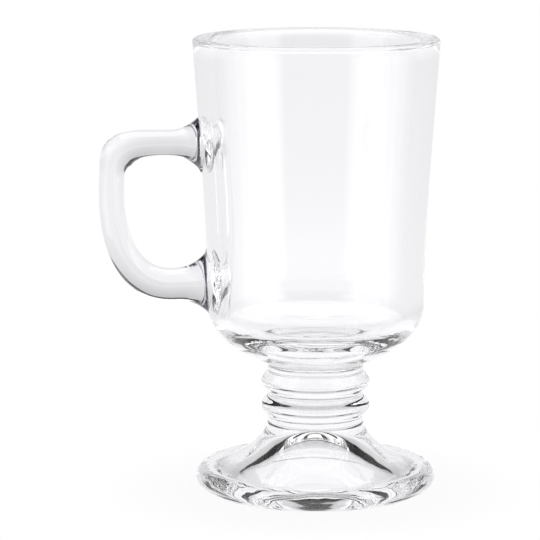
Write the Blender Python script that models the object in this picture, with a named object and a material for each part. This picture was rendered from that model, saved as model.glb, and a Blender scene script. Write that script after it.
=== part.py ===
"""Glass mulled wine mug: a thick pressed bowl with a fused handle, a ringed stem and a hollow foot."""

from math import pi

import bmesh
import bpy
from mathutils import Matrix, Vector
from mathutils.geometry import interpolate_bezier

for old in list(bpy.data.objects):
    bpy.data.objects.remove(old, do_unlink=True)

# Sizes of the whole mug and its bowl, in metres
HEIGHT = 0.1410
RIM_RADIUS = 0.0380
WAIST_RADIUS = 0.0335
WALL = 0.0061
FLOOR = 0.0117
BASE_CURVE = 0.0195
LIP = 0.0018

# Sizes of the ringed stem
STEM_RADIUS = 0.0148
RING_PROUD = 0.0021
RING_PITCH = 0.00755
RINGS = 2
NECK = 0.0006

# Sizes of the foot, its rounded edge, the land it rests on and the hollow under it
FOOT_RADIUS = 0.0373
FOOT_HEIGHT = 0.0223
FOOT_EDGE = 0.0073
FOOT_LAND = 0.0027
FOOT_HOLLOW = 0.0177

# Sizes of the handle: its reach from the mug's axis, its lower arm above the bowl's joint,
# the span between its arms, its sections and its flared roots
HANDLE_REACH = 0.0671
HANDLE_LOW = 0.0258
HANDLE_SPAN = 0.0443
GRIP_THICK = 0.0078
BEND_THICK = 0.0106
LOW_ARM_THICK = 0.0101
HANDLE_DEPTH = 0.0105
ROOT_LENGTH = 0.0105
ROOT_FLARE = 0.0046
ROOT_SPREAD = 0.0008

# Seam left between pieces that are fused in the glassworks
SEAM = 0.0003

# Facets round each turned piece and round the handle's section
TURN_STEPS = 52
SECTION_STEPS = 16

stem_base = FOOT_HEIGHT + SEAM
stem_height = RINGS * RING_PITCH + NECK
bowl_base = stem_base + stem_height + SEAM
bowl_height = HEIGHT - bowl_base

# The mug's axis stands off the middle of the whole, which the handle makes wider on one side
mug = bpy.data.objects.new("mug", None)
mug.location.x = (HANDLE_REACH - RIM_RADIUS) / 2
bpy.context.collection.objects.link(mug)


def bend(start, pull_start, pull_end, end, count):
    """Points of a Bezier arc after its start, as distances out from the axis and heights."""
    corners = [Vector((out, 0.0, up)) for out, up in (start, pull_start, pull_end, end)]
    return [(p.x, p.z) for p in interpolate_bezier(*corners, count + 1)[1:]]


def between(first, last, share):
    """The value at a share of the way from the first to the last."""
    return first + share * (last - first)


def glass(name):
    """Clear glass for one piece."""
    material = bpy.data.materials.new(name + "_glass")
    material.use_nodes = True
    shader = material.node_tree.nodes["Principled BSDF"]
    shader.inputs["Base Color"].default_value = (0.96, 0.98, 0.97, 1.0)
    shader.inputs["Roughness"].default_value = 0.03
    shader.inputs["IOR"].default_value = 1.5
    shader.inputs["Transmission Weight"].default_value = 1.0
    return material


def piece_of(name, mesh, parent, height):
    """The named piece that a mesh becomes, smooth, facing outward and standing on its parent."""
    bmesh.ops.recalc_face_normals(mesh, faces=mesh.faces)
    data = bpy.data.meshes.new(name)
    mesh.to_mesh(data)
    mesh.free()
    data.shade_smooth()
    data.materials.append(glass(name))
    piece = bpy.data.objects.new(name, data)
    piece.parent = parent
    piece.location.z = height
    bpy.context.collection.objects.link(piece)
    return piece


def turned(profile):
    """A mesh turned about the axis from a profile that starts and ends on it."""
    mesh = bmesh.new()
    points = [mesh.verts.new((out, 0.0, up)) for out, up in profile]
    edges = [mesh.edges.new(pair) for pair in zip(points, points[1:])]
    bmesh.ops.spin(
        mesh,
        geom=points + edges,
        cent=(0.0, 0.0, 0.0),
        axis=(0.0, 0.0, 1.0),
        angle=2 * pi,
        steps=TURN_STEPS,
        use_merge=True,
    )
    bmesh.ops.remove_doubles(mesh, verts=mesh.verts, dist=1e-6)
    return mesh


def bowl_outside():
    """The bowl's outer side: joint, hollow throat, rounded base and flaring wall up to the lip."""
    joint = (STEM_RADIUS, 0.0)
    throat = (between(STEM_RADIUS, WAIST_RADIUS, 0.24), 0.17 * BASE_CURVE)
    shoulder = (WAIST_RADIUS, BASE_CURVE)
    lip_side = (RIM_RADIUS, bowl_height - LIP)
    out = [joint]
    out += bend(
        joint,
        (STEM_RADIUS, 0.07 * BASE_CURVE),
        (between(STEM_RADIUS, WAIST_RADIUS, 0.10), 0.10 * BASE_CURVE),
        throat,
        4,
    )
    out += bend(
        throat,
        (between(STEM_RADIUS, WAIST_RADIUS, 0.61), 0.33 * BASE_CURVE),
        (WAIST_RADIUS, 0.62 * BASE_CURVE),
        shoulder,
        8,
    )
    out += bend(
        shoulder,
        (between(WAIST_RADIUS, RIM_RADIUS, 0.01), between(shoulder[1], lip_side[1], 0.30)),
        (between(WAIST_RADIUS, RIM_RADIUS, 0.54), between(shoulder[1], lip_side[1], 0.64)),
        lip_side,
        7,
    )
    return out


def bowl_inside():
    """The lip, tight outside and easy inside, then the inner wall, its round foot and the flat floor."""
    lip_side = (RIM_RADIUS, bowl_height - LIP)
    lip_top = (RIM_RADIUS - LIP, bowl_height)
    wall_top = (RIM_RADIUS - WALL, bowl_height - 1.7 * LIP)
    wall_low = (WAIST_RADIUS - WALL, 0.95 * BASE_CURVE)
    floor_edge = (0.71 * wall_low[0], FLOOR)
    inside = bend(
        lip_side,
        (RIM_RADIUS, bowl_height - 0.4 * LIP),
        (RIM_RADIUS - 0.45 * LIP, bowl_height),
        lip_top,
        4,
    )
    inside += bend(
        lip_top,
        (RIM_RADIUS - 0.62 * WALL, bowl_height),
        (RIM_RADIUS - 0.94 * WALL, bowl_height - 0.5 * LIP),
        wall_top,
        5,
    )
    inside += bend(
        wall_top,
        (between(wall_low[0], wall_top[0], 0.55), between(wall_low[1], wall_top[1], 0.64)),
        (between(wall_low[0], wall_top[0], 0.02), between(wall_low[1], wall_top[1], 0.28)),
        wall_low,
        6,
    )
    inside += bend(
        wall_low,
        (wall_low[0], between(wall_low[1], FLOOR, 0.66)),
        (0.82 * wall_low[0], between(FLOOR, wall_low[1], 0.17)),
        floor_edge,
        8,
    )
    return inside + [(0.0, FLOOR)]


def stem_side():
    """The stem's side: rounded rings with tight grooves between them, and a short neck on top."""
    crest = STEM_RADIUS + RING_PROUD
    groove = 0.15 * RING_PITCH
    swell = 0.28 * RING_PITCH
    side = [(0.0, 0.0), (STEM_RADIUS, 0.0)]
    for ring in range(RINGS):
        low = ring * RING_PITCH
        middle = low + RING_PITCH / 2
        high = low + RING_PITCH
        side += bend((STEM_RADIUS, low), (STEM_RADIUS, low + groove), (crest, low + swell), (crest, middle), 6)
        side += bend((crest, middle), (crest, high - swell), (STEM_RADIUS, high - groove), (STEM_RADIUS, high), 6)
    return side + [(STEM_RADIUS, stem_height), (0.0, stem_height)]


def foot_side():
    """The foot: a flare down to a crease, a thick rounded edge, a flat land and the hollow."""
    half = FOOT_EDGE / 2
    heart = FOOT_RADIUS - half
    joint = (STEM_RADIUS, FOOT_HEIGHT)
    crease = (heart - 0.48 * half, 1.877 * half)
    crown = (heart + 0.15 * half, FOOT_EDGE)
    rim = (FOOT_RADIUS, half)
    land_outer = (heart - 0.35 * half, 0.0)
    land_inner = (land_outer[0] - FOOT_LAND, 0.0)
    side = [(0.0, FOOT_HEIGHT), joint]
    side += bend(
        joint,
        (STEM_RADIUS, between(FOOT_HEIGHT, crease[1], 0.38)),
        (between(STEM_RADIUS, crease[0], 0.42), between(FOOT_HEIGHT, crease[1], 0.76)),
        crease,
        8,
    )
    side += bend(crease, (heart - 0.22 * half, FOOT_EDGE), (heart - 0.12 * half, FOOT_EDGE), crown, 3)
    side += bend(crown, (heart + 0.66 * half, FOOT_EDGE), (FOOT_RADIUS, 1.55 * half), rim, 5)
    side += bend(rim, (FOOT_RADIUS, 0.52 * half), (heart + 0.40 * half, 0.0), land_outer, 5)
    side.append(land_inner)
    side += bend(
        land_inner,
        (0.63 * land_inner[0], 0.015 * FOOT_HOLLOW),
        (0.22 * land_inner[0], FOOT_HOLLOW),
        (0.0, FOOT_HOLLOW),
        8,
    )
    return side


bowl = piece_of("bowl", turned([(0.0, 0.0)] + bowl_outside() + bowl_inside()), mug, bowl_base)
stem = piece_of("stem", turned(stem_side()), mug, stem_base)
foot = piece_of("foot", turned(foot_side()), mug, 0.0)


def wall_radius(height):
    """The bowl's outer radius at a height above its joint."""
    for (low_out, low), (high_out, high) in zip(bowl_outside(), bowl_outside()[1:]):
        if low <= height <= high:
            return between(low_out, high_out, (height - low) / (high - low))
    return RIM_RADIUS


def handle_stations():
    """Places along the handle's middle line, from the top root to the low one, with thicknesses."""
    top = HANDLE_LOW + HANDLE_SPAN
    grip = (HANDLE_REACH - GRIP_THICK / 2, between(HANDLE_LOW, top, 0.635))
    low = between(HANDLE_LOW, top, 0.015)
    low_arm = (wall_radius(low) + ROOT_LENGTH, HANDLE_LOW)
    top_arm = (between(low_arm[0], grip[0], 0.15), top)
    top_root = (wall_radius(top) - 0.4 * WALL, top)
    low_root = (wall_radius(low) - 0.4 * WALL, low)
    corner = (between(top_arm[0], grip[0], 0.95), top)
    shoulder = (grip[0], between(grip[1], top, 0.74))
    heel = (grip[0], between(grip[1], HANDLE_LOW, 0.57))
    sole = (between(low_arm[0], grip[0], 0.68), between(HANDLE_LOW, top, -0.012))
    runs = [
        ([top_root] + bend(top_root, top_root, top_arm, top_arm, 10), GRIP_THICK, GRIP_THICK),
        (bend(top_arm, corner, shoulder, grip, 10)[:5], GRIP_THICK, BEND_THICK),
        (bend(top_arm, corner, shoulder, grip, 10)[5:8], BEND_THICK, GRIP_THICK),
        (bend(top_arm, corner, shoulder, grip, 10)[8:], GRIP_THICK, GRIP_THICK),
        (bend(grip, heel, sole, low_arm, 12), GRIP_THICK, LOW_ARM_THICK),
        (bend(low_arm, low_arm, low_root, low_root, 9), LOW_ARM_THICK, LOW_ARM_THICK),
    ]
    stations = []
    for places, first, last in runs:
        for count, place in enumerate(places, 1):
            share = count / len(places)
            stations.append((place, between(first, last, share * share * (3 - 2 * share))))
    return stations


def handle_mesh():
    """Oval sections along the middle line, bridged into one body with both ends in the wall."""
    stations = handle_stations()
    mesh = bmesh.new()
    depth = Vector((0.0, 1.0, 0.0))
    rings = []
    for index, ((out, up), thick) in enumerate(stations):
        before = stations[max(index - 1, 0)][0]
        after = stations[min(index + 1, len(stations) - 1)][0]
        along = Vector((before[0] - after[0], 0.0, after[1] - before[1])).normalized()
        turn = Matrix((along.cross(depth), depth, along)).transposed().to_4x4()
        grown = max(0.0, 1.0 - (out - wall_radius(up)) / ROOT_LENGTH) ** 2.5
        section = Matrix.Diagonal((
            thick / 2 + ROOT_FLARE * grown,
            HANDLE_DEPTH / 2 + ROOT_SPREAD * grown,
            1.0,
            1.0,
        ))
        made = bmesh.ops.create_circle(
            mesh,
            segments=SECTION_STEPS,
            radius=1.0,
            cap_ends=index in (0, len(stations) - 1),
            matrix=Matrix.Translation((-out, 0.0, up)) @ turn @ section,
        )
        rings.append({edge for vert in made["verts"] for edge in vert.link_edges})
    for first, second in zip(rings, rings[1:]):
        bmesh.ops.bridge_loops(mesh, edges=list(first | second))
    return mesh


# The bowl's own outside, one seam larger, cuts the saddles where the roots are fused to the wall
handle = piece_of("handle", handle_mesh(), bowl, 0.0)
grown_wall = [(out + SEAM, up) for out, up in bowl_outside()]
wall = piece_of("wall_cutter", turned([(0.0, 0.0)] + grown_wall + [(0.0, grown_wall[-1][1])]), bowl, 0.0)
wall.hide_render = True
wall.display_type = "WIRE"
saddles = handle.modifiers.new("saddles", "BOOLEAN")
saddles.operation = "DIFFERENCE"
saddles.solver = "EXACT"
saddles.object = wall
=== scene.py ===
# %% [markdown]
# # A glass mug for mulled wine
# The mug is clear pressed glass: a thick bowl, a ringed stem, a hollow foot and a solid handle, all
# fused while hot. The imported solids give every place and size, and this lesson dresses them. Glass
# shows every facet that light is bent through, so each piece is modelled again on the same curves
# with many more steps, and takes the place of its solid. The frame is loaded first.

# %% Load the frame
from math import pi, radians, sin

import bmesh
import bpy
from mathutils import Matrix, Vector
from mathutils.geometry import interpolate_bezier


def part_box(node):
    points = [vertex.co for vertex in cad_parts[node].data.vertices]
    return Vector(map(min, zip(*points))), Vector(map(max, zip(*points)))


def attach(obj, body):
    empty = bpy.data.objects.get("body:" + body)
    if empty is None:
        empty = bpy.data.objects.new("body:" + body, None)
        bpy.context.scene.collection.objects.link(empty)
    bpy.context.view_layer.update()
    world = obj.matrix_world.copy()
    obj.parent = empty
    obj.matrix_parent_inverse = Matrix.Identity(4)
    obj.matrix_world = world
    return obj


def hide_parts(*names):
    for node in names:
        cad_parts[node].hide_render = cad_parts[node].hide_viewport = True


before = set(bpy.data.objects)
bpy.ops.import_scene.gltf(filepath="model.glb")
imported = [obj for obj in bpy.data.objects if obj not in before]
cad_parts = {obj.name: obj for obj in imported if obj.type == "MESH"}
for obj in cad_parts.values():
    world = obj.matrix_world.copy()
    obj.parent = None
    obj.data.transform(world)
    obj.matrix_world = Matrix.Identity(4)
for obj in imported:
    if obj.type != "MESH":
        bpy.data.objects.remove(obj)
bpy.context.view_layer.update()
print("nodes:", sorted(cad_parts))

# %% [markdown]
# ## Sizes
# What the solids show directly is read from their boxes: the axis, the rim, the foot and the joint
# heights. The solids keep a thin seam at each fused joint, and the glass here meets in the middle
# of it.

# %% Sizes from the frame
bowl_low, bowl_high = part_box("bowl")
stem_low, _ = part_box("stem")
foot_low, foot_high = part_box("foot")
handle_low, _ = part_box("handle")

axis = Vector(((bowl_low.x + bowl_high.x) / 2, 0.0, 0.0))
rim_radius = (bowl_high.x - bowl_low.x) / 2
foot_radius = (foot_high.x - foot_low.x) / 2
seam = stem_low.z - foot_high.z
foot_height = foot_high.z + seam / 2
bowl_base = bowl_low.z - seam / 2
bowl_height = bowl_high.z - bowl_base
stem_height = bowl_base - foot_height
handle_reach = axis.x - handle_low.x
print("rim radius %.4f, bowl height %.4f, seam %.5f" % (rim_radius, bowl_height, seam))

# %% [markdown]
# ## Curves and turned pieces
# A mould for pressed glass is cut on a lathe, so bowl, stem and foot are each one profile spun
# about the axis. A profile could be a dense list of points, but a few Bezier arcs say more clearly
# what each stretch does and stay smooth at any number of steps. The plain numbers in an arc are
# shares of the named sizes around it. Spinning a profile that starts and ends on the axis leaves
# many points there, so doubles are merged before the normals are recalculated.

# %% Profile helpers
TURN_STEPS = 224
ARC_STEPS = 4
MERGE = 1e-6


def between(first, last, share):
    """The value at a share of the way from the first to the last."""
    return first + share * (last - first)


def bend(start, pull_start, pull_end, end, count):
    """Points of a Bezier arc after its start, as distances out from the axis and heights."""
    corners = [Vector((out, 0.0, up)) for out, up in (start, pull_start, pull_end, end)]
    return [(p.x, p.z) for p in interpolate_bezier(*corners, ARC_STEPS * count + 1)[1:]]


def turned(profile, base):
    """A mesh spun about the mug's axis from a profile that starts and ends on it."""
    mesh = bmesh.new()
    points = [mesh.verts.new((axis.x + out, 0.0, base + up)) for out, up in profile]
    edges = [mesh.edges.new(pair) for pair in zip(points, points[1:])]
    bmesh.ops.spin(
        mesh,
        geom=points + edges,
        cent=axis,
        axis=(0.0, 0.0, 1.0),
        angle=2 * pi,
        steps=TURN_STEPS,
        use_merge=True,
    )
    bmesh.ops.remove_doubles(mesh, verts=mesh.verts, dist=MERGE)
    bmesh.ops.recalc_face_normals(mesh, faces=mesh.faces)
    return mesh


def piece_of(name, mesh):
    """The object that a mesh becomes."""
    data = bpy.data.meshes.new(name)
    mesh.to_mesh(data)
    mesh.free()
    piece = bpy.data.objects.new(name, data)
    bpy.context.scene.collection.objects.link(piece)
    print(name, "has", len(data.polygons), "faces")
    return piece


# %% [markdown]
# ## The bowl
# The bowl stands on the stem with a small hollow throat, rounds out into a thick base and widens a
# little towards the rim. Outside and inside are two separate curves, because the wall of a pressed
# mug isn't even: the plunger leaves a flat floor more than a centimetre thick, with an easy bend up
# to the wall. That floor shows in the photograph as the line across the base and the pale ellipses
# over it. The lip is tight on the outside and rolls over softly to the inside. It is drawn a little
# tighter than in the solid, because that gives the rim its clean pale line.

# %% Bowl
STEM_RADIUS = 0.0148
WAIST_RADIUS = 0.0335
BASE_CURVE = 0.0195
WALL = 0.0061
FLOOR = 0.0117
LIP = 0.0013


def bowl_outside():
    """The outer side: joint, hollow throat, rounded base and flaring wall up to the lip."""
    joint = (STEM_RADIUS, 0.0)
    throat = (between(STEM_RADIUS, WAIST_RADIUS, 0.24), 0.17 * BASE_CURVE)
    shoulder = (WAIST_RADIUS, BASE_CURVE)
    lip_side = (rim_radius, bowl_height - LIP)
    out = [joint]
    out += bend(
        joint,
        (STEM_RADIUS, 0.07 * BASE_CURVE),
        (between(STEM_RADIUS, WAIST_RADIUS, 0.10), 0.10 * BASE_CURVE),
        throat,
        4,
    )
    out += bend(
        throat,
        (between(STEM_RADIUS, WAIST_RADIUS, 0.61), 0.33 * BASE_CURVE),
        (WAIST_RADIUS, 0.62 * BASE_CURVE),
        shoulder,
        8,
    )
    out += bend(
        shoulder,
        (between(WAIST_RADIUS, rim_radius, 0.01), between(shoulder[1], lip_side[1], 0.30)),
        (between(WAIST_RADIUS, rim_radius, 0.54), between(shoulder[1], lip_side[1], 0.64)),
        lip_side,
        7,
    )
    return out


def bowl_inside():
    """The lip, tight outside and easy inside, then the inner wall and the flat floor."""
    lip_side = (rim_radius, bowl_height - LIP)
    lip_top = (rim_radius - LIP, bowl_height)
    wall_top = (rim_radius - WALL, bowl_height - 1.7 * LIP)
    wall_low = (WAIST_RADIUS - WALL, 0.95 * BASE_CURVE)
    floor_edge = (0.71 * wall_low[0], FLOOR)
    inside = bend(
        lip_side,
        (rim_radius, bowl_height - 0.4 * LIP),
        (rim_radius - 0.45 * LIP, bowl_height),
        lip_top,
        4,
    )
    inside += bend(
        lip_top,
        (rim_radius - 0.62 * WALL, bowl_height),
        (rim_radius - 0.94 * WALL, bowl_height - 0.5 * LIP),
        wall_top,
        5,
    )
    inside += bend(
        wall_top,
        (between(wall_low[0], wall_top[0], 0.55), between(wall_low[1], wall_top[1], 0.64)),
        (between(wall_low[0], wall_top[0], 0.02), between(wall_low[1], wall_top[1], 0.28)),
        wall_low,
        6,
    )
    inside += bend(
        wall_low,
        (wall_low[0], between(wall_low[1], FLOOR, 0.66)),
        (0.82 * wall_low[0], between(FLOOR, wall_low[1], 0.17)),
        floor_edge,
        8,
    )
    return inside + [(0.0, FLOOR)]


wall_line = bowl_outside()
bowl = piece_of("bowl_glass", turned([(0.0, 0.0)] + wall_line + bowl_inside(), bowl_base))

# %% [markdown]
# ## The stem
# Two rounded rings sit one above the other, with a short plain neck under the bowl. A torus on a
# cylinder would leave a hard crease at each ring. Here each half ring is one S-shaped arc, tight in
# the groove and full over the crest, as the mould leaves it. The fine dark lines across the stem
# come from these tight grooves.

# %% Stem
RING_PROUD = 0.0021
RINGS = 2
NECK = 0.0006
ring_pitch = (stem_height - NECK) / RINGS


def stem_side():
    """The stem's side: rounded rings with tight grooves between them, and a short neck on top."""
    crest = STEM_RADIUS + RING_PROUD
    groove = 0.15 * ring_pitch
    swell = 0.28 * ring_pitch
    side = [(0.0, 0.0), (STEM_RADIUS, 0.0)]
    for ring in range(RINGS):
        low = (STEM_RADIUS, ring * ring_pitch)
        top = (crest, low[1] + ring_pitch / 2)
        high = (STEM_RADIUS, low[1] + ring_pitch)
        side += bend(low, (STEM_RADIUS, low[1] + groove), (crest, low[1] + swell), top, 6)
        side += bend(top, (crest, high[1] - swell), (STEM_RADIUS, high[1] - groove), high, 6)
    return side + [(STEM_RADIUS, stem_height), (0.0, stem_height)]


stem = piece_of("stem_glass", turned(stem_side(), foot_height))

# %% [markdown]
# ## The foot
# The foot flares from the stem down to a shallow crease and a thick rounded edge. It stands on a
# narrow flat ring, the land, and is hollow like a bell inside it. The hollow can't be seen
# directly, but it bends the light into the pale arch and the two dark wedges over the front of the
# foot, and its height and shape were chosen until these came out near where the photograph has
# them.

# %% Foot
FOOT_EDGE = 0.0073
FOOT_LAND = 0.0027
FOOT_HOLLOW = 0.0177


def foot_side():
    """The foot: a flare down to a crease, a thick rounded edge, a flat land and the hollow."""
    half = FOOT_EDGE / 2
    heart = foot_radius - half
    joint = (STEM_RADIUS, foot_height)
    crease = (heart - 0.48 * half, 1.877 * half)
    crown = (heart + 0.15 * half, FOOT_EDGE)
    rim = (foot_radius, half)
    land_outer = (heart - 0.35 * half, 0.0)
    land_inner = (land_outer[0] - FOOT_LAND, 0.0)
    crest_pulls = ((heart - 0.22 * half, FOOT_EDGE), (heart - 0.12 * half, FOOT_EDGE))
    side = [(0.0, foot_height), joint]
    side += bend(
        joint,
        (STEM_RADIUS, between(foot_height, crease[1], 0.38)),
        (between(STEM_RADIUS, crease[0], 0.42), between(foot_height, crease[1], 0.76)),
        crease,
        8,
    )
    side += bend(crease, *crest_pulls, crown, 3)
    side += bend(crown, (heart + 0.66 * half, FOOT_EDGE), (foot_radius, 1.55 * half), rim, 5)
    side += bend(rim, (foot_radius, 0.52 * half), (heart + 0.40 * half, 0.0), land_outer, 5)
    side.append(land_inner)
    side += bend(
        land_inner,
        (0.63 * land_inner[0], 0.015 * FOOT_HOLLOW),
        (0.22 * land_inner[0], FOOT_HOLLOW),
        (0.0, FOOT_HOLLOW),
        8,
    )
    return side


foot = piece_of("foot_glass", turned(foot_side(), 0.0))

# %% [markdown]
# ## The handle
# The handle is a solid bar with an oval section, bent into a D and pressed onto the wall at both
# ends. It could be a bevelled curve, but a curve keeps one section, and this bar swells at the
# outer bend, thins along the grip and flares at both roots. So oval rings are set along the middle
# line, each with its own thickness, and bridged. Right at the wall each root spreads once more in a
# small tight fillet, where the hot glass wetted the bowl, and that fillet draws the dark line of
# the joint.

# %% Line of the handle
HANDLE_LOW = 0.0258
HANDLE_SPAN = 0.0443
GRIP_THICK = 0.0078
BEND_THICK = 0.0106
LOW_ARM_THICK = 0.0101
ROOT_LENGTH = 0.0105
ROOT_DEPTH = 0.4 * WALL


def wall_radius(height):
    """The bowl's outer radius at a height above its joint."""
    for (low_out, low), (high_out, high) in zip(wall_line, wall_line[1:]):
        if low <= height <= high:
            return between(low_out, high_out, (height - low) / (high - low))
    return rim_radius


def eased(share):
    """A share that starts and ends gently."""
    return share * share * (3 - 2 * share)


def handle_stations():
    """Places along the middle line, from the top root to the low one, with their thicknesses."""
    top = HANDLE_LOW + HANDLE_SPAN
    grip = (handle_reach - GRIP_THICK / 2, between(HANDLE_LOW, top, 0.635))
    low = between(HANDLE_LOW, top, 0.015)
    low_arm = (wall_radius(low) + ROOT_LENGTH, HANDLE_LOW)
    top_arm = (between(low_arm[0], grip[0], 0.15), top)
    top_root = (wall_radius(top) - ROOT_DEPTH, top)
    low_root = (wall_radius(low) - ROOT_DEPTH, low)
    corner = (between(top_arm[0], grip[0], 0.95), top)
    shoulder = (grip[0], between(grip[1], top, 0.74))
    heel = (grip[0], between(grip[1], HANDLE_LOW, 0.57))
    sole = (between(low_arm[0], grip[0], 0.68), between(HANDLE_LOW, top, -0.012))
    turn = bend(top_arm, corner, shoulder, grip, 10)
    swell_to, swell_from = 5 * ARC_STEPS, 8 * ARC_STEPS
    runs = [
        ([top_root] + bend(top_root, top_root, top_arm, top_arm, 20), GRIP_THICK, GRIP_THICK),
        (turn[:swell_to], GRIP_THICK, BEND_THICK),
        (turn[swell_to:swell_from], BEND_THICK, GRIP_THICK),
        (turn[swell_from:], GRIP_THICK, GRIP_THICK),
        (bend(grip, heel, sole, low_arm, 12), GRIP_THICK, LOW_ARM_THICK),
        (bend(low_arm, low_arm, low_root, low_root, 20), LOW_ARM_THICK, LOW_ARM_THICK),
    ]
    stations = []
    for places, first, last in runs:
        for count, place in enumerate(places, 1):
            stations.append((place, between(first, last, eased(count / len(places)))))
    return stations


stations = handle_stations()
print("the handle has", len(stations), "sections")

# %% Handle
SECTION_STEPS = 56
HANDLE_DEPTH = 0.0105
ROOT_FLARE = 0.0046
ROOT_SPREAD = 0.0008
ROOT_EASE = 2.5
ROOT_FILLET = 0.0008


def root_growth(out, up):
    """How far a section grows at a distance from the wall: up and down, and front to back."""
    gap = max(0.0, out - wall_radius(up))
    flare = max(0.0, 1.0 - gap / ROOT_LENGTH) ** ROOT_EASE
    near = max(0.0, 1.0 - gap / ROOT_FILLET)
    fillet = ROOT_FILLET * (1.0 - (1.0 - near * near) ** 0.5)
    return ROOT_FLARE * flare + fillet, ROOT_SPREAD * flare + fillet


def handle_mesh():
    """Oval sections along the middle line, bridged into one body with both ends in the wall."""
    mesh = bmesh.new()
    depth = Vector((0.0, 1.0, 0.0))
    last = len(stations) - 1
    rings = []
    for index, ((out, up), thick) in enumerate(stations):
        before = stations[max(index - 1, 0)][0]
        after = stations[min(index + 1, last)][0]
        along = Vector((before[0] - after[0], 0.0, after[1] - before[1])).normalized()
        turn = Matrix((along.cross(depth), depth, along)).transposed().to_4x4()
        taller, deeper = root_growth(out, up)
        oval = Matrix.Diagonal((thick / 2 + taller, HANDLE_DEPTH / 2 + deeper, 1.0, 1.0))
        place = Matrix.Translation((axis.x - out, 0.0, bowl_base + up))
        made = bmesh.ops.create_circle(
            mesh,
            segments=SECTION_STEPS,
            radius=1.0,
            cap_ends=index in (0, last),
            matrix=place @ turn @ oval,
        )
        rings.append({edge for vert in made["verts"] for edge in vert.link_edges})
    for first, second in zip(rings, rings[1:]):
        bmesh.ops.bridge_loops(mesh, edges=list(first | second))
    bmesh.ops.recalc_face_normals(mesh, faces=mesh.faces)
    return mesh


handle = piece_of("handle_glass_painted_shade", handle_mesh())

# %% [markdown]
# ## Shader maths
# Node trees are easier to read as sums. This small class holds one output of a node, and arithmetic
# on it adds Math nodes. Every other node comes from one method: its settings are set first, because
# they decide which sockets it has, and then its sockets get numbers, colours or links.

# %% Sockets as values
MIX_SHARE, MIX_FIRST, MIX_SECOND, MIX_RESULT = 0, 6, 7, 2


class Wire:
    """One output socket, with arithmetic that adds Math nodes to its tree."""

    def __init__(self, socket):
        self.socket = socket
        self.tree = socket.id_data

    @staticmethod
    def node(tree, kind, output=0, settings=None, sockets=None):
        """Add a node, set its settings, then its sockets, and give back one of its outputs."""
        made = tree.nodes.new(kind)
        for name, value in (settings or {}).items():
            if name == "stops":
                made.color_ramp.elements[1].position = 1.0
                for position, _ in value[2:]:
                    made.color_ramp.elements.new(position)
                for stop, (position, grey) in zip(made.color_ramp.elements, value):
                    stop.position = position
                    stop.color = (grey, grey, grey, 1.0)
            else:
                setattr(made, name, value)
        for name, value in (sockets or {}).items():
            if isinstance(value, Wire):
                tree.links.new(value.socket, made.inputs[name])
            else:
                made.inputs[name].default_value = value
        return Wire(made.outputs[output])

    def twin(self, output):
        """Another output of the same node."""
        return Wire(self.socket.node.outputs[output])

    def math(self, operation, *terms):
        """A Math node on these terms."""
        settings = {"operation": operation}
        return Wire.node(self.tree, "ShaderNodeMath", 0, settings, dict(enumerate(terms)))

    def __add__(self, other):
        return self.math("ADD", self, other)

    def __radd__(self, other):
        return self.math("ADD", other, self)

    def __sub__(self, other):
        return self.math("SUBTRACT", self, other)

    def __rsub__(self, other):
        return self.math("SUBTRACT", other, self)

    def __mul__(self, other):
        return self.math("MULTIPLY", self, other)

    def __rmul__(self, other):
        return self.math("MULTIPLY", other, self)

    def __abs__(self):
        return self.math("ABSOLUTE", self)


def rising(value, low, high):
    """0 below low and 1 above high, with a smooth step between."""
    sockets = {"Value": value, "From Min": low, "From Max": high}
    smooth = {"interpolation_type": "SMOOTHSTEP"}
    return Wire.node(value.tree, "ShaderNodeMapRange", "Result", smooth, sockets)


def inside(value, low, high, soft):
    """1 between low and high, falling to 0 over a soft margin within them."""
    return rising(value, low, low + soft) * (1 - rising(value, high - soft, high))


def blended(share, first, second):
    """A colour between two. A Mix node has sockets for every kind, and these are for colours."""
    sockets = {MIX_SHARE: share, MIX_FIRST: first, MIX_SECOND: second}
    return Wire.node(share.tree, "ShaderNodeMix", MIX_RESULT, {"data_type": "RGBA"}, sockets)


print("shader helpers ready")

# %% [markdown]
# ## The glass
# Clear table glass is almost colourless: it bends light with an index of about 1.5 and takes a
# little of it on long ways, with a cool trace. That loss belongs to the inside, so it is a volume
# and not a surface colour. The body gets hardly any, because light that is caught in the rim runs
# far and would come out black. The handle gets a far denser loss, partly real absorption and partly
# painted shade, which makes it greyer and draws dark lines at its thick roots. The skin isn't
# perfect either: pressing leaves faint upright waves on the wall and short ripples on the foot and
# the base, and fingers leave smears that dull it slightly.

# %% Clear glass
GLASS_INDEX = 1.5
LOSS_COLOUR = (0.37, 0.38, 0.46, 1.0)
BODY_LOSS = 0.1
# The handle's loss is only partly real absorption: it is set far above the body's as painted shade,
# which makes the handle greyer and darkens its thick roots.
HANDLE_LOSS_PAINTED_SHADE = 6.5
WAVE_HEIGHT = 0.000003
WAVE_SCALE = 95.0
WAVE_STRETCH = (1.0, 1.0, 0.16)
SMOOTH_DETAIL, SMEAR_DETAIL = 1.0, 4.0
RIPPLE_HEIGHT = 0.00012
RIPPLE_SCALE = 140.0
RIPPLE_TOP = (0.040, 0.060)
SMEAR_SCALE = 38.0
SMEAR_EDGE = (0.55, 0.75)
SMEAR_ROUGHNESS = 0.012
PALE = (0.991, 0.991, 0.993, 1.0)
COOL_TRACE = (0.982, 0.982, 0.986, 1.0)


def noise(place, scale, detail):
    """A cloudy pattern over a piece."""
    sockets = {"Vector": place, "Scale": scale, "Detail": detail}
    return Wire.node(place.tree, "ShaderNodeTexNoise", 0, {}, sockets)


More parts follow.
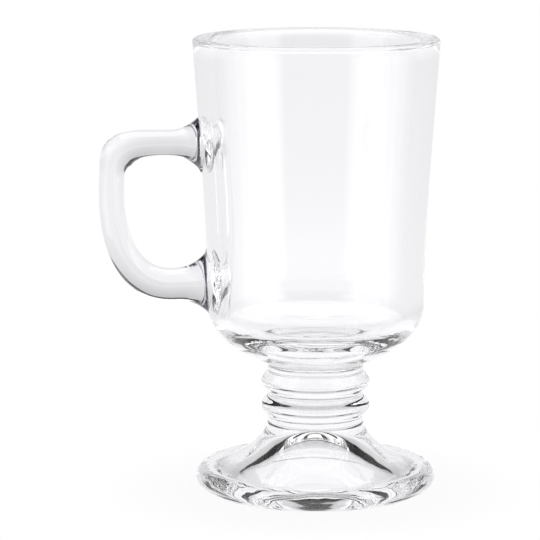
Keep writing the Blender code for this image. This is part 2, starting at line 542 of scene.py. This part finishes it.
def clear_glass(name, loss_and_shade_density):
    """Clear pressed glass with faint waves, smears and a trace of colour."""
    material = bpy.data.materials.new(name)
    material.use_nodes = True
    tree = material.node_tree
    shader = tree.nodes["Principled BSDF"]
    shader.inputs["IOR"].default_value = GLASS_INDEX
    shader.inputs["Transmission Weight"].default_value = 1.0

    place = Wire.node(tree, "ShaderNodeTexCoord", "Object")
    drawn = Wire.node(
        tree, "ShaderNodeVectorMath", 0, {"operation": "MULTIPLY"}, {0: place, 1: WAVE_STRETCH}
    )
    waves = noise(drawn, WAVE_SCALE, SMOOTH_DETAIL)
    ripples = noise(place, RIPPLE_SCALE, SMOOTH_DETAIL)
    smears = noise(place, SMEAR_SCALE, SMEAR_DETAIL)
    level = Wire.node(tree, "ShaderNodeSeparateXYZ", "Z", {}, {0: place})
    pressed = ripples * (1 - rising(level, *RIPPLE_TOP))
    uneven = pressed * RIPPLE_HEIGHT + waves * WAVE_HEIGHT
    bump = Wire.node(
        tree, "ShaderNodeBump", 0, {}, {"Height": uneven, "Distance": 1.0, "Strength": 1.0}
    )
    tint = blended(smears, PALE, COOL_TRACE)
    dull = rising(smears, *SMEAR_EDGE) * SMEAR_ROUGHNESS
    tree.links.new(tint.socket, shader.inputs["Base Color"])
    tree.links.new(dull.socket, shader.inputs["Roughness"])
    tree.links.new(bump.socket, shader.inputs["Normal"])

    # Where the loss is set high, as on the handle, it is painted shade more than the glass's own
    # absorption.
    loss = Wire.node(
        tree, "ShaderNodeVolumeAbsorption", 0, {}, {"Color": LOSS_COLOUR, "Density": loss_and_shade_density}
    )
    tree.links.new(loss.socket, tree.nodes["Material Output"].inputs["Volume"])
    return material


body_glass = clear_glass("body_glass", BODY_LOSS)
# The handle is the same glass with a much denser loss, as painted shade.
handle_glass_painted_shade = clear_glass("handle_glass_painted_shade", HANDLE_LOSS_PAINTED_SHADE)
print("glass has", len(body_glass.node_tree.nodes), "nodes")

# %% [markdown]
# ## Fused joints
# Where two pieces were fused hot, nothing is left inside to bend or mirror light. Closed pieces
# that only touch would show a bright skin there, so the faces of a joint get a second material that
# lets light straight through. On the flat joints of the stem the faces are found by their height.

# %% Joint faces
GLASS_SLOT, JOINT_SLOT = 0, 1
LEVEL = 0.99


def fused_joint():
    """A material that light passes as if the joint weren't there."""
    material = bpy.data.materials.new("fused_joint")
    material.use_nodes = True
    tree = material.node_tree
    tree.nodes.remove(tree.nodes["Principled BSDF"])
    through = Wire.node(tree, "ShaderNodeBsdfTransparent")
    tree.links.new(through.socket, tree.nodes["Material Output"].inputs["Surface"])
    return material


joint = fused_joint()
flat_joints = (
    (bowl, body_glass, (bowl_base,)),
    (stem, body_glass, (foot_height, bowl_base)),
    (foot, body_glass, (foot_height,)),
    (handle, handle_glass_painted_shade, ()),
)
for piece, glass, heights in flat_joints:
    piece.data.materials.append(glass)
    piece.data.materials.append(joint)
    found = 0
    for face in piece.data.polygons:
        if abs(face.normal.z) > LEVEL and any(abs(face.center.z - h) < MERGE for h in heights):
            face.material_index = JOINT_SLOT
            found += 1
    print(piece.name, "has", found, "joint faces")

# %% [markdown]
# ## Roots in the wall
# The roots of the handle end on a curved wall, so their joint faces have to follow it. A copy of
# the bowl's outside, a hair smaller, is cut from the handle, and the handle is then cut from the
# bowl.
# The cutters carry the joint material, so every face that a cut leaves is a fused one. The results
# are kept as plain meshes, because live cuts would be slow.

# %% Cut the roots
ROOT_BITE = 0.0002
SOFT_ANGLE = radians(28)


def cutter_of(name, data):
    """A stand-in for one cut, with the joint material on all its faces."""
    cutter = bpy.data.objects.new(name, data)
    bpy.context.scene.collection.objects.link(cutter)
    for face in data.polygons:
        face.material_index = JOINT_SLOT
    return cutter


def cut(piece, cutter):
    """Cut a piece, keep the result as its mesh and remove the cutter."""
    saw = piece.modifiers.new("saw", "BOOLEAN")
    saw.operation = "DIFFERENCE"
    saw.solver = "EXACT"
    saw.object = cutter
    bpy.context.view_layer.update()
    seen = piece.evaluated_get(bpy.context.evaluated_depsgraph_get())
    done = bpy.data.meshes.new_from_object(seen)
    piece.modifiers.clear()
    piece.data = done
    bpy.data.objects.remove(cutter)


core_line = [(out - ROOT_BITE, up) for out, up in wall_line]
core_mesh = turned([(0.0, 0.0)] + core_line + [(0.0, core_line[-1][1])], bowl_base)
core_data = bpy.data.meshes.new("wall_core")
core_mesh.to_mesh(core_data)
core_mesh.free()
core_data.materials.append(handle_glass_painted_shade)
core_data.materials.append(joint)
cut(handle, cutter_of("wall_core", core_data))
cut(bowl, cutter_of("root_plugs", handle.data.copy()))

pieces = {"bowl": bowl, "stem": stem, "foot": foot, "handle": handle}
for node, piece in pieces.items():
    piece.data.shade_smooth()
    piece.data.set_sharp_from_angle(angle=SOFT_ANGLE)
    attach(piece, "root")
    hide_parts(node)
    print(node, "is now", piece.name, "with", len(piece.data.polygons), "faces")

# %% [markdown]
# ## The studio
# Clear glass has no colour of its own and only shows its surroundings, bent. So the studio is the
# finish of this mug as much as the glass is. Behind it hangs a white paper sweep that gets darker
# with height and ends under a dark ceiling. Two black flags lean in beside it, and they draw the
# dark wedges of the foot and the dark edges of the handle. Two soft boxes stand on the camera's
# side, and their mirror images are the upright pale stripes on the bowl. A low fill runs round the
# front and keeps the foot pale, and the room over the camera is dark, so that the middle of the
# bowl stays a little grey. All of this is written as brightness by direction in the world, where
# soft edges are easy. Boxes and fill count only for light that was mirrored on its way. Straight
# through the glass the plain paper shows, or the mug would vanish when it is seen from behind. The
# light is very slightly cool, as the greys of the photograph are, and the camera itself sees plain
# white.

# % Directions
COOL_LIGHT = (0.997, 0.996, 1.012, 1.0)
WHITE = (1.0, 1.0, 1.0, 1.0)


def white_to_camera(tree):
    """The slightly cool light that falls on the glass, and plain white for the camera."""
    return blended(Wire.node(tree, "ShaderNodeLightPath", "Is Camera Ray"), COOL_LIGHT, WHITE)


studio = bpy.data.worlds.new("studio")
studio.use_nodes = True
bpy.context.scene.world = studio
sky = studio.node_tree

look = Wire.node(sky, "ShaderNodeTexCoord", "Generated")
across = Wire.node(sky, "ShaderNodeSeparateXYZ", "X", {}, {"Vector": look})
height = across.twin("Z")
azimuth = abs(across.math("ARCTAN2", across, across.twin("Y")))
elevation = height.math("ARCSINE", height)
print("azimuth is 0 behind the mug and 180 at the camera")

# %% Paper sweep, flags and soft boxes
SWEEP = (
    (-90, 1.0),
    (-35, 1.0),
    (-20, 0.96),
    (-11, 0.89),
    (-5, 0.84),
    (0, 0.80),
    (11, 0.70),
    (25, 0.60),
    (33, 0.56),
    (36, 0.03),
    (90, 0.03),
)
FLAG_LEAN = 0.9
FLAG_EDGE = (radians(42), radians(48))
FLAG_FAR = (radians(64), radians(76))
FLAG_HEIGHT = (radians(6), radians(70), radians(6))
FLAG_DARK = 0.98
BOX_WIDTH = (radians(95), radians(142), radians(5))
BOX_HEIGHT = (radians(-30), radians(40), radians(8))
BOX_LIGHT = 0.85
FILL_WIDTH = (radians(68), radians(88))
FILL_HEIGHT = (radians(-30), radians(2), radians(14))
FILL_LIGHT = 1.0
ROOM_EDGE = (radians(140), radians(150))
ROOM_HEIGHT = (radians(0), radians(22))
ROOM_DARK = 0.85

stops = [(0.5 + 0.5 * sin(radians(angle)), grey) for angle, grey in SWEEP]
paper = Wire.node(sky, "ShaderNodeValToRGB", 0, {"stops": stops}, {"Fac": 0.5 * height + 0.5})
near_edge = rising(azimuth + FLAG_LEAN * elevation, *FLAG_EDGE)
flags = near_edge * (1 - rising(azimuth, *FLAG_FAR)) * inside(elevation, *FLAG_HEIGHT)
boxes = inside(azimuth, *BOX_WIDTH) * inside(elevation, *BOX_HEIGHT)
fill = rising(azimuth, *FILL_WIDTH) * inside(elevation, *FILL_HEIGHT)
room = rising(azimuth, *ROOM_EDGE) * rising(elevation, *ROOM_HEIGHT)
paper = paper * (1 - FLAG_DARK * flags) * (1 - ROOM_DARK * room)
seen = Wire.node(sky, "ShaderNodeLightPath", "Is Camera Ray")
mirrored = seen.math("MINIMUM", seen.twin("Glossy Depth"), 1.0)
light = paper + mirrored * (BOX_LIGHT * boxes + FILL_LIGHT * fill)

sky.links.new((light * (1 - seen) + seen).socket, sky.nodes["Background"].inputs["Strength"])
sky.links.new(white_to_camera(sky).socket, sky.nodes["Background"].inputs["Color"])
print("studio has", len(sky.nodes), "nodes")

# %% [markdown]
# ## Top light and floor
# One soft box hangs over the mug and a little behind it, for the bright upper edge of the rim. It
# is a real area lamp, because it also has to light the floor. The floor is pale and mostly glows by
# itself, so that it runs into the white behind it. A small share of it is plain matt paper that
# keeps a faint shadow, and that share fades out a little way from the foot.

# %% Top light
TOP_SIZE = (0.66, 0.60)
TOP_BACK = 0.21
TOP_HEIGHT = 0.62
TOP_LIGHT = 1.5

lamp = bpy.data.lights.new("top_box", "AREA")
lamp.shape = "RECTANGLE"
lamp.size, lamp.size_y = TOP_SIZE
lamp.energy = TOP_LIGHT * pi * TOP_SIZE[0] * TOP_SIZE[1]
top_box = bpy.data.objects.new("top_box", lamp)
top_box.location = (axis.x, TOP_BACK, TOP_HEIGHT)
top_box.visible_camera = False
bpy.context.scene.collection.objects.link(top_box)
print("top box gives %.2f W" % lamp.energy)

# %% Floor
FLOOR_RADIUS = 0.28
FLOOR_GAP = 0.0003
FLOOR_STEPS = 96
MATT_WHITE = (0.95, 0.95, 0.95, 1.0)
MATT_SHARE = 0.05
MATT_REACH = (0.036, 0.075)


def paper_floor():
    """Pale paper that glows, with a matt share round the mug that keeps its shadow."""
    material = bpy.data.materials.new("paper_floor")
    material.use_nodes = True
    tree = material.node_tree
    tree.nodes.remove(tree.nodes["Principled BSDF"])
    place = Wire.node(tree, "ShaderNodeTexCoord", "Object")
    away = Wire.node(
        tree, "ShaderNodeVectorMath", "Value", {"operation": "DISTANCE"}, {0: place, 1: axis}
    )
    share = MATT_SHARE * (1 - rising(away, *MATT_REACH))
    glow = Wire.node(tree, "ShaderNodeEmission", 0, {}, {"Color": white_to_camera(tree)})
    matt = Wire.node(tree, "ShaderNodeBsdfDiffuse", 0, {}, {"Color": MATT_WHITE})
    both = Wire.node(tree, "ShaderNodeMixShader", 0, {}, {0: share, 1: glow, 2: matt})
    tree.links.new(both.socket, tree.nodes["Material Output"].inputs["Surface"])
    return material


floor_mesh = bmesh.new()
bmesh.ops.create_circle(
    floor_mesh,
    cap_ends=True,
    segments=FLOOR_STEPS,
    radius=FLOOR_RADIUS,
    matrix=Matrix.Translation((axis.x, 0.0, -FLOOR_GAP)),
)
floor = piece_of("floor", floor_mesh)
floor.data.materials.append(paper_floor())

# %% [markdown]
# ## Camera
# The photograph was taken from a little above the rim with a long lens. Place, aim and lens were
# fitted to the mug's outline: the tilt from the ellipses of rim and foot, the distance from how
# much these two differ. Light in thick glass turns back inside many times before it leaves, so the
# limits on bounces are far above the usual ones. With low limits the whole rim comes out black.

# %% Camera and bounces
LENS = 193.9
SENSOR = 36.0
CAMERA_PLACE = Vector((0.00034, -0.890, 0.21743))
CAMERA_AIM = Vector((0.00034, 0.0, 0.0687))
BOUNCES = 140

lens = bpy.data.cameras.new("camera")
lens.sensor_width = SENSOR
lens.lens = LENS
camera = bpy.data.objects.new("camera", lens)
camera.location = CAMERA_PLACE
camera.rotation_euler = (CAMERA_AIM - CAMERA_PLACE).to_track_quat("-Z", "Y").to_euler()
bpy.context.scene.collection.objects.link(camera)

scene = bpy.context.scene
scene.camera = camera
scene.view_settings.view_transform = "Standard"
scene.cycles.max_bounces = BOUNCES
scene.cycles.transmission_bounces = BOUNCES
scene.cycles.glossy_bounces = BOUNCES
scene.cycles.transparent_max_bounces = BOUNCES
print("camera at", tuple(round(v, 4) for v in CAMERA_PLACE))
